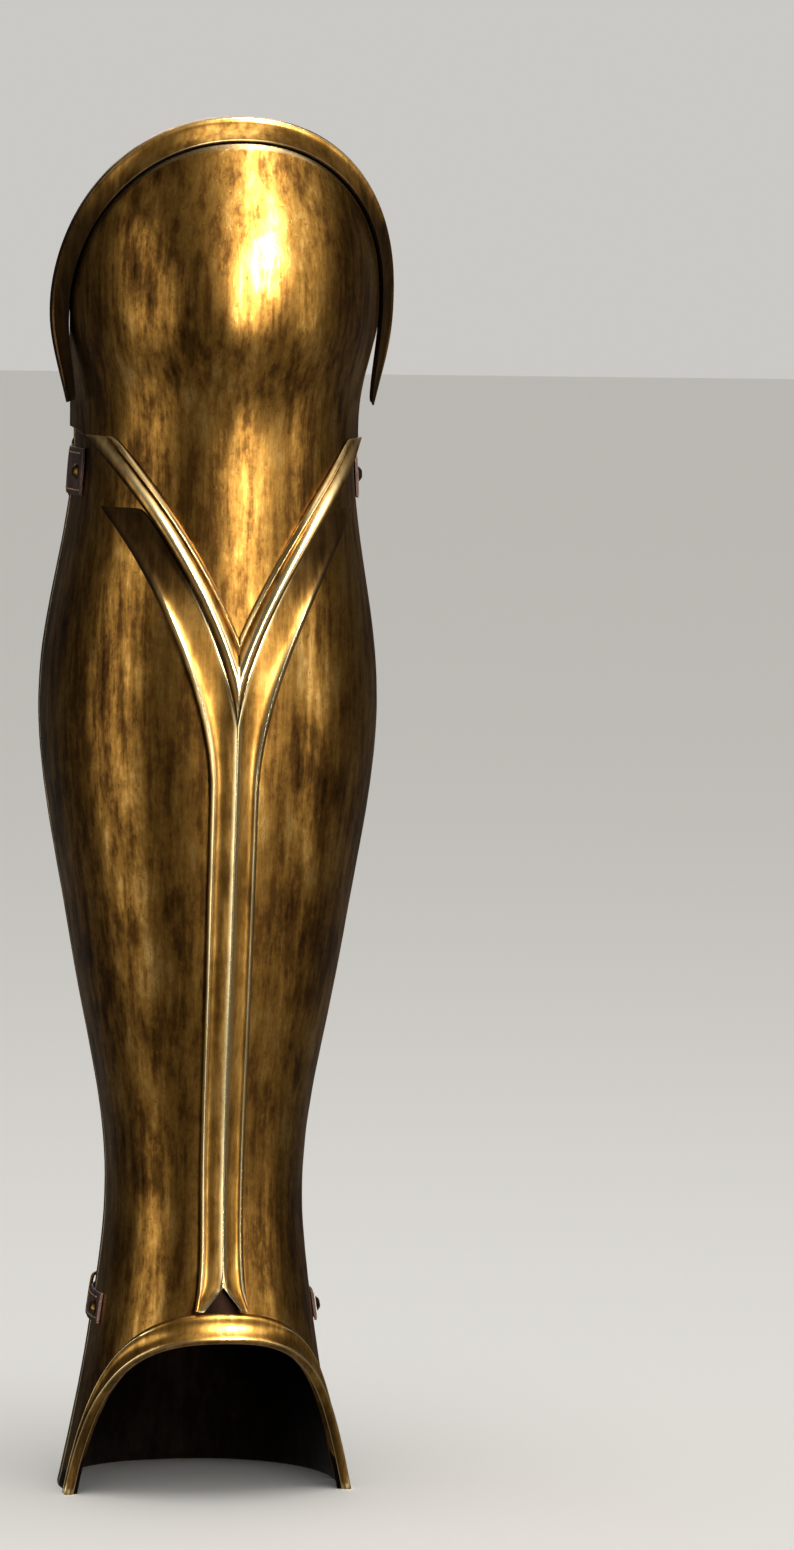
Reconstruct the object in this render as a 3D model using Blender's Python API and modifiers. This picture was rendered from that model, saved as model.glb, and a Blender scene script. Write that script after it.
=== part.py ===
"""A closed bronze greave: shin and calf plates, a knee cup, raised borders and side straps."""

import math

import bmesh
import bpy
from mathutils import Vector

# Heights of the whole greave, in metres
TOTAL_HEIGHT = 0.500
LEG_HEIGHT = 0.392
CALF_DIP = 0.020

# Widths and depths of the leg plates
BASE_WIDTH = 0.1045
ANKLE_WIDTH = 0.0714
CALF_WIDTH = 0.1242
WAIST_WIDTH = 0.1012
BASE_DEPTH = 0.104
ANKLE_DEPTH = 0.077
CALF_DEPTH = 0.128
WAIST_DEPTH = 0.111
CALF_SET_BACK = 0.006
SECTION_POWER = 2.15
ANKLE_SHARE = 0.288

# Sheet metal
PLATE_WALL = 0.0015
PLATE_GAP = 0.0004
SEAM_GAP = 0.0006
SEAT_GAP = 0.0003

# Knee cup
KNEE_RADIUS = 0.0565
KNEE_RISE = 0.060
KNEE_BULGE = 0.053
KNEE_PLANE = -0.019
KNEE_ROUNDNESS = 1.06
KNEE_LEAN = 0.036
KNEE_LEAN_POWER = 1.25
KNEE_RIM_TOP = 0.0100
KNEE_RIM_SIDE = 0.0062
KNEE_RIM_TIP = 0.0026
KNEE_RIM_FLARE = 0.0070
KNEE_RIM_WALL = 0.0018
WING_DROP_ANGLE = 32.0
WING_STAND_OFF = 0.0010
WING_STAND_OFF_POWER = 2.2
WING_NARROWING_POWER = 1.4
KNEE_RIM_TUCK_ANGLE = 4.0

# Border of the knee cup, a V with a double ridge
V_DROP = 0.096
V_HALF_WIDTH = 0.0465
V_TIP_HEIGHT = 0.2836
V_POWER = 0.66
V_BAND_WIDTH = 0.0084
V_BAND_REACH = 0.965
V_BAND_FADE = 0.016
V_BAND_END_SHARE = 0.45
V_BAND_RELIEF = 0.0030

# Raised rib on the shin, a Y with a sharp middle ridge
RIB_FOOT_CLEARANCE = 0.0005
RIB_FORK_HEIGHT = 0.0090
RIB_FORK_HALF_WIDTH = 0.0070
RIB_STEM_TOP = 0.0088
RIB_STEM_FOOT = 0.0075
RIB_FOOT_SPREAD = 0.0022
RIB_FOOT_RISE = 0.024
RIB_ARM_START = 0.262
RIB_ARM_TOP = 0.360
RIB_ARM_REACH = 0.0372
RIB_ARM_POWER = 1.6
RIB_ARM_FADE = 0.030
RIB_ARM_END_SHARE = 0.25
RIB_RIDGE_RELIEF = 0.0030
RIB_RIDGE_HALF_WIDTH = 0.0050
RIB_RIDGE_POWER = 1.3
RIB_BEAD_RELIEF = 0.0022
RIB_SIDE_GAP = 0.0006

# Arch over the foot and its flared border
ARCH_HEIGHT = 0.0598
ARCH_POWER = 2.3
ARCH_TIP_ANGLE = 71.0
ANKLE_RIM_WIDTH = 0.0100
ANKLE_RIM_TIP_WIDTH = 0.0052
ANKLE_RIM_RELIEF = 0.0034

# Side straps with their buckles and rivets
STRAP_THICKNESS = 0.0012
STRAP_START_ANGLE = 75.0
STRAP_END_ANGLE = 156.0
UPPER_STRAP_WIDTH = 0.0170
UPPER_STRAP_HEIGHT = 0.3715
LOWER_STRAP_WIDTH = 0.0110
LOWER_STRAP_HEIGHT = 0.0670
BUCKLE_ANGLE = 126.0
BUCKLE_WIRE_RADIUS = 0.0008
BUCKLE_SIDE_ROOM = 0.0012
BUCKLE_LENGTH = 0.0120
BUCKLE_CORNER = 0.0022
TONGUE_RADIUS = 0.0006
RIVET_RADIUS = 0.0030
RIVET_HEIGHT = 0.0013
RIVET_TOP_SHARE = 0.55
RIVET_EDGE = 0.0048

# Sections of the leg from floor to knee: the height is a share of LEG_HEIGHT,
# the other columns are shares of the sizes above
LEG_SECTIONS = (
    {"height": 0.000, "width": 0.500 * BASE_WIDTH, "front": 0.52 * BASE_DEPTH,
     "back": 0.48 * BASE_DEPTH, "middle": 0.00 * CALF_SET_BACK},
    {"height": 0.128, "width": 0.408 * BASE_WIDTH, "front": 0.43 * BASE_DEPTH,
     "back": 0.40 * BASE_DEPTH, "middle": 0.00 * CALF_SET_BACK},
    {"height": ANKLE_SHARE, "width": 0.500 * ANKLE_WIDTH, "front": 0.50 * ANKLE_DEPTH,
     "back": 0.50 * ANKLE_DEPTH, "middle": 0.00 * CALF_SET_BACK},
    {"height": 0.510, "width": 0.400 * CALF_WIDTH, "front": 0.39 * CALF_DEPTH,
     "back": 0.41 * CALF_DEPTH, "middle": 0.45 * CALF_SET_BACK},
    {"height": 0.735, "width": 0.500 * CALF_WIDTH, "front": 0.47 * CALF_DEPTH,
     "back": 0.53 * CALF_DEPTH, "middle": 1.00 * CALF_SET_BACK},
    {"height": 0.972, "width": 0.500 * WAIST_WIDTH, "front": 0.545 * WAIST_DEPTH,
     "back": 0.455 * WAIST_DEPTH, "middle": 0.50 * CALF_SET_BACK},
    {"height": 1.050, "width": 0.500 * WAIST_WIDTH, "front": 0.545 * WAIST_DEPTH,
     "back": 0.455 * WAIST_DEPTH, "middle": 0.50 * CALF_SET_BACK},
)

# Relief across each border, from its lower or inner edge (0) to its far edge (1);
# the height is a share of that border's relief
V_BAND_PROFILE = (
    {"across": 0.00, "relief": 0.35},
    {"across": 0.13, "relief": 0.85},
    {"across": 0.34, "relief": 1.00},
    {"across": 0.55, "relief": 0.70},
    {"across": 0.70, "relief": 0.25},
    {"across": 0.85, "relief": 0.70},
    {"across": 1.00, "relief": 0.25},
)
RIB_PROFILE = (
    {"across": 0.00, "relief": 0.50},
    {"across": 0.22, "relief": 0.48},
    {"across": 0.50, "relief": 0.48},
    {"across": 0.74, "relief": 0.58},
    {"across": 0.87, "relief": 1.00},
    {"across": 1.00, "relief": 0.50},
)
ANKLE_RIM_PROFILE = (
    {"across": -0.12, "relief": 0.45},
    {"across": 0.00, "relief": 0.92},
    {"across": 0.13, "relief": 1.00},
    {"across": 0.32, "relief": 0.62},
    {"across": 0.62, "relief": 0.40},
    {"across": 0.86, "relief": 0.66},
    {"across": 1.00, "relief": 0.34},
)
# Knee rim: the place across is a share of its width, the depth a share of its flare;
# the part below 0 is a flange tucked behind the cup's edge
KNEE_RIM_PROFILE = (
    {"across": -0.15, "depth": 0.13},
    {"across": 0.00, "depth": 0.13},
    {"across": 0.12, "depth": -0.34},
    {"across": 0.26, "depth": -0.10},
    {"across": 0.55, "depth": 0.30},
    {"across": 0.80, "depth": 0.55},
    {"across": 0.93, "depth": 0.52},
    {"across": 1.00, "depth": 0.80},
)

# Strap: the place across is a share of its width from its middle line
STRAP_PROFILE = (
    {"across": -0.50, "thickness": 0.60},
    {"across": -0.43, "thickness": 1.00},
    {"across": 0.43, "thickness": 1.00},
    {"across": 0.50, "thickness": 0.60},
)

# Finish of each kind of piece: colour, roughness, metallic
FINISHES = {
    "aged_bronze": ((0.30, 0.17, 0.05, 1.0), 0.36, 1.0),
    "worn_brass": ((0.55, 0.36, 0.14, 1.0), 0.30, 1.0),
    "dark_bronze": ((0.20, 0.11, 0.04, 1.0), 0.42, 1.0),
    "dark_leather": ((0.05, 0.025, 0.015, 1.0), 0.65, 0.0),
}

# How finely each surface is divided
SHIN_COLUMNS = 10
SHIN_SIDE_COLUMNS = 3
CALF_COLUMNS = 8
FOOT_ROWS = 7
LEG_ROWS = 19
ROW_CROWDING = 1.3
KNEE_COLUMNS = 12
KNEE_COLUMN_CROWDING = 1.3
KNEE_ROWS = 11
V_BAND_STEPS = 17
V_BAND_CROWDING = 0.8
ANKLE_RIM_STEPS = 12
KNEE_RIM_STEPS = 17
STRAP_STEPS = 9
RIB_FORK_ROWS = 3
RIB_STEM_ROWS = 14
RIB_SPLIT_ROWS = 2
RIB_ARM_ROWS = 10
BUCKLE_CORNER_PARTS = 3
WIRE_ROUNDNESS = 1
RIVET_SIDES = 10
PLATE_CREASE_ANGLE = 42.0
RIVET_CREASE_ANGLE = 50.0
WELD_DISTANCE = 0.00001
PLANE_TOLERANCE = 1e-7

KNEE_CENTRE_HEIGHT = TOTAL_HEIGHT - KNEE_RIM_TOP - KNEE_RISE
KNEE_SEAT = PLATE_GAP + PLATE_WALL
RIB_FOOT_HEIGHT = ARCH_HEIGHT + ANKLE_RIM_WIDTH + RIB_FOOT_CLEARANCE


def share_between(low, high, share):
    return low + (high - low) * share


def smooth_share(value, start, end):
    share = min(1.0, max(0.0, (value - start) / (end - start)))
    return share * share * (3.0 - 2.0 * share)


def slope_at(rows, column, index):
    """Slope of a smooth curve through the rows, flat at its turning points."""
    if index in (0, len(rows) - 1):
        near = 1 if index == 0 else index - 1
        rise = rows[near][column] - rows[index][column]
        return rise / (rows[near]["height"] - rows[index]["height"])
    before, here, after = rows[index - 1], rows[index], rows[index + 1]
    lower = (here[column] - before[column]) / (here["height"] - before["height"])
    upper = (after[column] - here[column]) / (after["height"] - here["height"])
    if lower * upper <= 0.0:
        return 0.0
    return 2.0 * lower * upper / (lower + upper)


def leg_size(column, height):
    """Half width, front, back or middle of the leg at this height."""
    rows = LEG_SECTIONS
    share = min(rows[-1]["height"], max(0.0, height / LEG_HEIGHT))
    index = 0
    while index < len(rows) - 2 and share > rows[index + 1]["height"]:
        index += 1
    low, high = rows[index], rows[index + 1]
    span = high["height"] - low["height"]
    t = (share - low["height"]) / span
    start_slope = slope_at(rows, column, index) * span
    end_slope = slope_at(rows, column, index + 1) * span
    return (
        (2.0 * t**3 - 3.0 * t**2 + 1.0) * low[column]
        + (t**3 - 2.0 * t**2 + t) * start_slope
        + (3.0 * t**2 - 2.0 * t**3) * high[column]
        + (t**3 - t**2) * end_slope
    )


def leg_point(angle, height, offset=0.0):
    """Point on the leg plates; the angle is in degrees from the front, positive towards +X."""
    sine = math.sin(math.radians(angle))
    cosine = math.cos(math.radians(angle))
    depth = leg_size("front" if cosine >= 0.0 else "back", height) + offset
    power = 2.0 / SECTION_POWER
    x = math.copysign(abs(sine) ** power, sine) * (leg_size("width", height) + offset)
    y = leg_size("middle", height) - math.copysign(abs(cosine) ** power, cosine) * depth
    if abs(x) < PLANE_TOLERANCE:
        x = 0.0
    return Vector((x, y, height))


def leg_front_point(x, height, offset=0.0):
    """Point on the front of the leg plates at this x."""
    share = min(1.0, abs(x) / (leg_size("width", height) + offset))
    angle = math.degrees(math.asin(share ** (SECTION_POWER / 2.0)))
    return leg_point(math.copysign(angle, x), height, offset)


def arch_point(turn, out=0.0):
    """x and height on the knee cup's outline, or outside it; turn is in degrees above the side."""
    sine, cosine = math.sin(math.radians(turn)), max(0.0, math.cos(math.radians(turn)))
    power = 2.0 / SECTION_POWER
    rise = (KNEE_RISE if sine >= 0.0 else KNEE_RADIUS) + out
    x = (KNEE_RADIUS + out) * cosine**power
    height = KNEE_CENTRE_HEIGHT + math.copysign(abs(sine) ** power, sine) * rise
    return (0.0 if x < PLANE_TOLERANCE else x), height


def cup_shape(share):
    """Bulge of the knee cup, 1 at its middle and 0 at its edge, where it still slopes."""
    edge = math.sqrt(KNEE_ROUNDNESS**2 - 1.0)
    here = math.sqrt(max(0.0, KNEE_ROUNDNESS**2 - share * share))
    return (here - edge) / (KNEE_ROUNDNESS - edge)


def knee_lean(height):
    """How far the knee cup's edge leans forward at this height."""
    up = max(0.0, height - KNEE_CENTRE_HEIGHT) / KNEE_RISE
    return KNEE_LEAN * up**KNEE_LEAN_POWER


def knee_half_width(height):
    """Half width of the knee cup's outer face, on the leg below and round above."""
    over_leg = leg_size("width", height) + KNEE_SEAT
    blend = smooth_share(height, LEG_HEIGHT, KNEE_CENTRE_HEIGHT)
    return share_between(over_leg, KNEE_RADIUS, blend)


def knee_point(share, height, offset=0.0):
    """Point on the knee cup at this height; the share runs from 0, the middle, to 1, the side."""
    blend = smooth_share(height, LEG_HEIGHT, KNEE_CENTRE_HEIGHT)
    width = knee_half_width(height) + offset
    x = share * width
    reach = abs(share)
    lean = knee_lean(height)
    if height > KNEE_CENTRE_HEIGHT:
        up = (height - KNEE_CENTRE_HEIGHT) / KNEE_RISE
        reach = (reach**SECTION_POWER + up**SECTION_POWER) ** (1.0 / SECTION_POWER)
        height += up * offset
    reach = min(1.0, reach)
    over_leg = leg_size("front", height) + KNEE_SEAT
    depth = share_between(over_leg, KNEE_BULGE, blend) + offset - lean
    middle = share_between(leg_size("middle", height), KNEE_PLANE, blend) - lean
    leg_shape = (1.0 - reach**SECTION_POWER) ** (1.0 / SECTION_POWER)
    shape = share_between(leg_shape, cup_shape(reach), blend)
    return Vector((x, middle - depth * shape, height))


def v_edge_height(x):
    """Height of the knee cup's lower edge at this x."""
    return V_TIP_HEIGHT + V_DROP * (abs(x) / V_HALF_WIDTH) ** V_POWER


def v_edge_x(height):
    """Half width of the V at this height, 0 below its tip."""
    rise = max(0.0, height - V_TIP_HEIGHT)
    return V_HALF_WIDTH * (rise / V_DROP) ** (1.0 / V_POWER)


def finish(name):
    material = bpy.data.materials.get(name)
    if material:
        return material
    colour, roughness, metallic = FINISHES[name]
    material = bpy.data.materials.new(name)
    material.use_nodes = True
    shader = material.node_tree.nodes["Principled BSDF"]
    shader.inputs["Base Color"].default_value = colour
    shader.inputs["Roughness"].default_value = roughness
    shader.inputs["Metallic"].default_value = metallic
    material.diffuse_color = colour
    return material


def own_finish(piece, name):
    """Gives the piece a material of its own, copied from the named finish."""
    material = finish(name).copy()
    material.name = f"{name}_{piece.name}"
    piece.data.materials.append(material)


def add_piece(piece, finish_name, parent, collection):
    collection.objects.link(piece)
    own_finish(piece, finish_name)
    piece.parent = parent


def in_mirror_plane(points):
    return all(abs(point.x) < PLANE_TOLERANCE for point in points)


def loft_mesh(name, rings):
    """Closed skin through the rings. A ring is a front row of points and then its back row,
    reversed, so its ends are closed by quads. Faces in the mirror plane are left out."""
    mesh = bmesh.new()
    count = len(rings[0])
    half = count // 2
    corners = [[mesh.verts.new(point) for point in ring] for ring in rings]
    quads = []
    for lower, upper in zip(corners, corners[1:]):
        for i in range(count):
            following = (i + 1) % count
            quads.append((lower[i], lower[following], upper[following], upper[i]))
    for ring, turned in ((corners[0], True), (corners[-1], False)):
        for i in range(half - 1):
            quad = (ring[i], ring[i + 1], ring[count - 2 - i], ring[count - 1 - i])
            quads.append(quad[::-1] if turned else quad)
    for quad in quads:
        if not in_mirror_plane([corner.co for corner in quad]):
            mesh.faces.new(quad)
    mesh.normal_update()
    outward = sum(f.calc_area() * f.normal.x * f.calc_center_median().x for f in mesh.faces)
    if outward < 0.0:
        bmesh.ops.reverse_faces(mesh, faces=mesh.faces[:])
    data = bpy.data.meshes.new(name)
    mesh.to_mesh(data)
    mesh.free()
    data.shade_smooth()
    data.set_sharp_from_angle(angle=math.radians(PLATE_CREASE_ANGLE))
    return data


def lofted(name, rings, mirrored):
    piece = bpy.data.objects.new(name, loft_mesh(name, rings))
    if mirrored:
        mirror = piece.modifiers.new("Mirror", "MIRROR")
        mirror.use_axis = (True, False, False)
        mirror.merge_threshold = WELD_DISTANCE
    return piece


def arch_edge(turn):
    """Angle and height on the arch over the foot; turn runs from 0 at its top to 90 at the floor."""
    radians, power = math.radians(turn), 2.0 / ARCH_POWER
    height = ARCH_HEIGHT * max(0.0, math.cos(radians)) ** power
    return ARCH_TIP_ANGLE * math.sin(radians) ** power, height


def row_heights(foot, top):
    """Heights of a leg plate's rows from its lower edge to its top, closer together at the top."""
    ankle = ANKLE_SHARE * LEG_HEIGHT
    heights = [share_between(foot, ankle, i / FOOT_ROWS) for i in range(FOOT_ROWS)]
    for i in range(LEG_ROWS + 1):
        share = 1.0 - (1.0 - i / LEG_ROWS) ** ROW_CROWDING
        heights.append(share_between(ankle, top, share))
    return heights


def plate_ring(point, columns):
    """Ring of a sheet: its outer points, then its inner points back again."""
    outer = [point(*place, 0.0) for place in columns]
    inner = [point(*place, -PLATE_WALL) for place in columns]
    return outer + inner[::-1]


def make_shin_plate():
    edges = [arch_edge(90.0 * i / SHIN_COLUMNS) for i in range(SHIN_COLUMNS + 1)]
    for i in range(1, SHIN_SIDE_COLUMNS + 1):
        edges.append((share_between(ARCH_TIP_ANGLE, 90.0, i / SHIN_SIDE_COLUMNS), 0.0))
    rings = []
    for angle, foot in edges:
        rings.append(plate_ring(leg_point, [(angle, z) for z in row_heights(foot, LEG_HEIGHT)]))
    for point in rings[-1]:
        point.y -= SEAM_GAP / 2.0
    return lofted("shin_plate", rings, mirrored=True)


def make_back_plate():
    rings = []
    for i in range(CALF_COLUMNS + 1):
        angle = share_between(90.0, 180.0, i / CALF_COLUMNS)
        top = LEG_HEIGHT - CALF_DIP * math.sin(math.radians(angle - 90.0)) ** 2
        rings.append(plate_ring(leg_point, [(angle, z) for z in row_heights(0.0, top)]))
    for point in rings[0]:
        point.y += SEAM_GAP / 2.0
    return lofted("back_plate", rings, mirrored=True)


def make_knee_plate():
    corner = knee_half_width(LEG_HEIGHT)
    rings = []
    for i in range(KNEE_COLUMNS + 1):
        turn = math.radians(90.0 * (i / KNEE_COLUMNS) ** KNEE_COLUMN_CROWDING)
        lower_x = math.sin(turn) * corner
        lower = v_edge_height(lower_x)
        lower_share = min(1.0, lower_x / knee_half_width(lower))
        upper_x, upper = arch_point(90.0 - math.degrees(turn))
        upper_share = upper_x / KNEE_RADIUS
        places = []
        for row in range(KNEE_ROWS + 1):
            up = row / KNEE_ROWS
            across = share_between(lower_share, upper_share, up)
            places.append((across, share_between(lower, upper, up)))
        rings.append(plate_ring(knee_point, places))
    return lofted("knee_plate", rings, mirrored=True)


def make_v_band():
    """Two ridges along the V; the halves meet in a mitre at the front."""
    top = v_edge_height(V_BAND_REACH * knee_half_width(LEG_HEIGHT))
    rings = []
    for step in range(V_BAND_STEPS + 1):
        front, back = [], []
        for row in V_BAND_PROFILE:
            inset = row["across"] * V_BAND_WIDTH
            start = v_edge_height(inset)
            height = share_between(start, top, (step / V_BAND_STEPS) ** V_BAND_CROWDING)
            x = max(0.0, v_edge_x(height) - inset) if step else 0.0
            fade = share_between(1.0, V_BAND_END_SHARE, smooth_share(height, top - V_BAND_FADE, top))
            lift = SEAT_GAP + V_BAND_RELIEF * row["relief"] * fade
            for line, offset in ((front, lift), (back, SEAT_GAP)):
                share = x / knee_half_width(height)
                line.append(knee_point(share, height, offset))
        rings.append(front + back[::-1])
    return lofted("v_band", rings, mirrored=True)


def rib_outer_x(height):
    """Half width of the rib, with its foot and its arms spread."""
    stem = share_between(RIB_STEM_FOOT, RIB_STEM_TOP, smooth_share(height, 0.0, RIB_ARM_START))
    foot = max(0.0, RIB_FOOT_HEIGHT + RIB_FOOT_RISE - height) / RIB_FOOT_RISE
    arm = max(0.0, height - RIB_ARM_START) / (RIB_ARM_TOP - RIB_ARM_START)
    return stem + RIB_FOOT_SPREAD * foot**2 + RIB_ARM_REACH * arm**RIB_ARM_POWER


def rib_fork_x(height):
    """Half width of the small fork at the rib's foot."""
    share = max(0.0, RIB_FOOT_HEIGHT + RIB_FORK_HEIGHT - height) / RIB_FORK_HEIGHT
    return RIB_FORK_HALF_WIDTH * share


def rib_inner_x(height):
    if height > V_TIP_HEIGHT - RIB_SIDE_GAP:
        return v_edge_x(height) + RIB_SIDE_GAP
    return rib_fork_x(height)


def rib_heights():
    fork_top = RIB_FOOT_HEIGHT + RIB_FORK_HEIGHT
    tip = V_TIP_HEIGHT - RIB_SIDE_GAP
    stretches = (
        (RIB_FOOT_HEIGHT, fork_top, RIB_FORK_ROWS),
        (fork_top, RIB_ARM_START, RIB_STEM_ROWS),
        (RIB_ARM_START, tip, RIB_SPLIT_ROWS),
        (tip, RIB_ARM_TOP, RIB_ARM_ROWS),
    )
    heights = []
    for low, high, rows in stretches:
        heights += [share_between(low, high, i / rows) for i in range(rows)]
    return heights + [RIB_ARM_TOP]


def make_shin_rib():
    """The Y on the shin: a middle ridge between two flutes, a bead along each outer edge."""
    rings = []
    for height in rib_heights():
        inner, outer = rib_inner_x(height), rib_outer_x(height)
        end = smooth_share(height, RIB_ARM_TOP - RIB_ARM_FADE, RIB_ARM_TOP)
        relief = RIB_BEAD_RELIEF * share_between(1.0, RIB_ARM_END_SHARE, end)
        front, back = [], []
        for row in RIB_PROFILE:
            x = share_between(inner, outer, row["across"])
            from_ridge = (x - rib_fork_x(height)) / RIB_RIDGE_HALF_WIDTH
            ridge = RIB_RIDGE_RELIEF * max(0.0, 1.0 - from_ridge) ** RIB_RIDGE_POWER
            lift = SEAT_GAP + relief * row["relief"] + ridge
            front.append(leg_front_point(x, height, lift))
            back.append(leg_front_point(x, height, SEAT_GAP))
        rings.append(front + back[::-1])
    return lofted("shin_rib", rings, mirrored=True)


def make_ankle_rim():
    """Flared border round the arch, wide over the instep and narrow at the floor."""
    around = math.radians(ARCH_TIP_ANGLE) * BASE_WIDTH / 2.0
    rings = []
    for step in range(ANKLE_RIM_STEPS + 1):
        turn = 90.0 * step / ANKLE_RIM_STEPS
        angle, height = arch_edge(turn)
        sine, cosine = math.sin(math.radians(turn)), max(0.0, math.cos(math.radians(turn)))
        power = 2.0 - 2.0 / ARCH_POWER
        normal = Vector((ARCH_HEIGHT * sine**power, around * cosine**power)).normalized()
        if step == ANKLE_RIM_STEPS:
            normal = Vector((1.0, 0.0))
        width = share_between(ANKLE_RIM_WIDTH, ANKLE_RIM_TIP_WIDTH, sine**2)
        front, back = [], []
        for row in ANKLE_RIM_PROFILE:
            out = row["across"] * width
            place_angle = angle + math.degrees(out * normal.x / (BASE_WIDTH / 2.0))
            place_height = height + out * normal.y
            lift = SEAT_GAP + ANKLE_RIM_RELIEF * row["relief"]
            front.append(leg_point(place_angle, place_height, lift))
            back.append(leg_point(place_angle, place_height, SEAT_GAP))
        rings.append(front + back[::-1])
    return lofted("ankle_rim", rings, mirrored=True)


def make_knee_rim():
    """Flared border round the knee cup; below the cup's widest place it stands free as a wing."""
    rings = []
    for step in range(KNEE_RIM_STEPS + 1):
        turn = share_between(90.0, -WING_DROP_ANGLE, step / KNEE_RIM_STEPS)
        rise = max(0.0, math.sin(math.radians(turn)))
        fall = max(0.0, -turn) / WING_DROP_ANGLE
        inner = SEAT_GAP + WING_STAND_OFF * fall**WING_STAND_OFF_POWER
        width = share_between(KNEE_RIM_SIDE, KNEE_RIM_TOP - SEAT_GAP, rise**2)
        width = share_between(width, KNEE_RIM_TIP, fall**WING_NARROWING_POWER)
        tuck = smooth_share(turn, 0.0, KNEE_RIM_TUCK_ANGLE)
        edge_plane = KNEE_PLANE - knee_lean(arch_point(turn)[1])
        front, back = [], []
        for row in KNEE_RIM_PROFILE:
            across = row["across"] * (tuck if row["across"] < 0.0 else 1.0)
            x, height = arch_point(turn, inner + width * across)
            if turn < 0.0:
                x += knee_half_width(arch_point(turn)[1]) - arch_point(turn)[0]
            y = edge_plane + KNEE_RIM_FLARE * row["depth"]
            front.append(Vector((x, y, height)))
            back.append(Vector((x, y + KNEE_RIM_WALL, height)))
        rings.append(front + back[::-1])
    return lofted("knee_rim", rings, mirrored=True)


def surface_angle(start_angle, distance, height):
    """Angle reached from start_angle after this distance round the side of the leg."""
    return start_angle + math.degrees(distance / leg_size("width", height))


def make_strap(name, side, height, width):
    rings = []
    for step in range(STRAP_STEPS + 1):
        angle = share_between(STRAP_START_ANGLE, STRAP_END_ANGLE, step / STRAP_STEPS)
        front, back = [], []
        for row in STRAP_PROFILE:
            place = height + width * row["across"]
            lift = SEAT_GAP + STRAP_THICKNESS * row["thickness"]
            front.append(leg_point(side * angle, place, lift))
            back.append(leg_point(side * angle, place, SEAT_GAP))
        rings.append(front + back[::-1])
    return lofted(name, rings, mirrored=False)


def wire(name, points, radius, closed):
    """A bent wire with round section, made a mesh with its caps welded."""
    curve = bpy.data.curves.new(name, "CURVE")
    curve.dimensions = "3D"
    curve.bevel_depth = radius
    curve.bevel_resolution = WIRE_ROUNDNESS
    curve.use_fill_caps = not closed
    spline = curve.splines.new("POLY")
    spline.points.add(len(points) - 1)
    for corner, point in zip(spline.points, points):
        corner.co = (*point, 1.0)
    spline.use_cyclic_u = closed
    guide = bpy.data.objects.new(f"{name}_guide", curve)
    bpy.context.scene.collection.objects.link(guide)
    bpy.context.view_layer.update()
    graph = bpy.context.evaluated_depsgraph_get()
    data = bpy.data.meshes.new_from_object(guide.evaluated_get(graph))
    data.name = name
    bpy.data.objects.remove(guide)
    bpy.data.curves.remove(curve)
    mesh = bmesh.new()
    mesh.from_mesh(data)
    bmesh.ops.remove_doubles(mesh, verts=mesh.verts[:], dist=WELD_DISTANCE)
    bmesh.ops.recalc_face_normals(mesh, faces=mesh.faces[:])
    mesh.to_mesh(data)
    mesh.free()
    data.materials.clear()
    data.shade_smooth()
    return bpy.data.objects.new(name, data)


def make_buckle(name, side, height, strap_width):
    """Rectangular frame of wire that lies over the strap, with rounded corners."""
    half_height = strap_width / 2.0 + BUCKLE_SIDE_ROOM + BUCKLE_WIRE_RADIUS
    half_length = BUCKLE_LENGTH / 2.0
    lift = 2.0 * SEAT_GAP + STRAP_THICKNESS + BUCKLE_WIRE_RADIUS
    points = []
    for quarter, (end, up) in enumerate(((1, 1), (-1, 1), (-1, -1), (1, -1))):
        for part in range(BUCKLE_CORNER_PARTS + 1):
            turn = math.radians(90.0 * (quarter + part / BUCKLE_CORNER_PARTS))
            along = end * (half_length - BUCKLE_CORNER) + BUCKLE_CORNER * math.cos(turn)
            rise = up * (half_height - BUCKLE_CORNER) + BUCKLE_CORNER * math.sin(turn)
            angle = surface_angle(BUCKLE_ANGLE, along, height)
            points.append(leg_point(side * angle, height + rise, lift))
        if quarter in (0, 2):
            angle = surface_angle(BUCKLE_ANGLE, 0.0, height)
            points.append(leg_point(side * angle, height + up * half_height, lift))
    return wire(name, points, BUCKLE_WIRE_RADIUS, closed=True)


def make_tongue(name, side, height):
    """Pin inside the buckle's frame, lying on the strap."""
    lift = 2.0 * SEAT_GAP + STRAP_THICKNESS + TONGUE_RADIUS
    reach = BUCKLE_LENGTH / 2.0 - BUCKLE_WIRE_RADIUS - SEAT_GAP
    points = []
    for share in (-1.0, 0.0, 1.0):
        angle = surface_angle(BUCKLE_ANGLE, share * reach, height)
        points.append(leg_point(side * angle, height, lift))
    return wire(name, points, TONGUE_RADIUS, closed=False)


def make_rivet(name, side, angle, height):
    """Low domed head seated on the strap."""
    mesh = bmesh.new()
    bmesh.ops.create_cone(
        mesh, cap_ends=True, segments=RIVET_SIDES, radius1=RIVET_RADIUS,
        radius2=RIVET_TOP_SHARE * RIVET_RADIUS, depth=RIVET_HEIGHT,
    )
    data = bpy.data.meshes.new(name)
    mesh.to_mesh(data)
    mesh.free()
    data.shade_smooth()
    data.set_sharp_from_angle(angle=math.radians(RIVET_CREASE_ANGLE))
    piece = bpy.data.objects.new(name, data)
    lift = 2.0 * SEAT_GAP + STRAP_THICKNESS + RIVET_HEIGHT / 2.0
    here = leg_point(side * angle, height, lift)
    round_leg = leg_point(side * (angle + 1.0), height, lift) - here
    up_leg = leg_point(side * angle, height + RIVET_RADIUS, lift) - here
    outward = side * round_leg.cross(up_leg).normalized()
    piece.rotation_mode = "QUATERNION"
    piece.rotation_quaternion = outward.to_track_quat("Z", "Y")
    piece.location = here
    return piece


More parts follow.
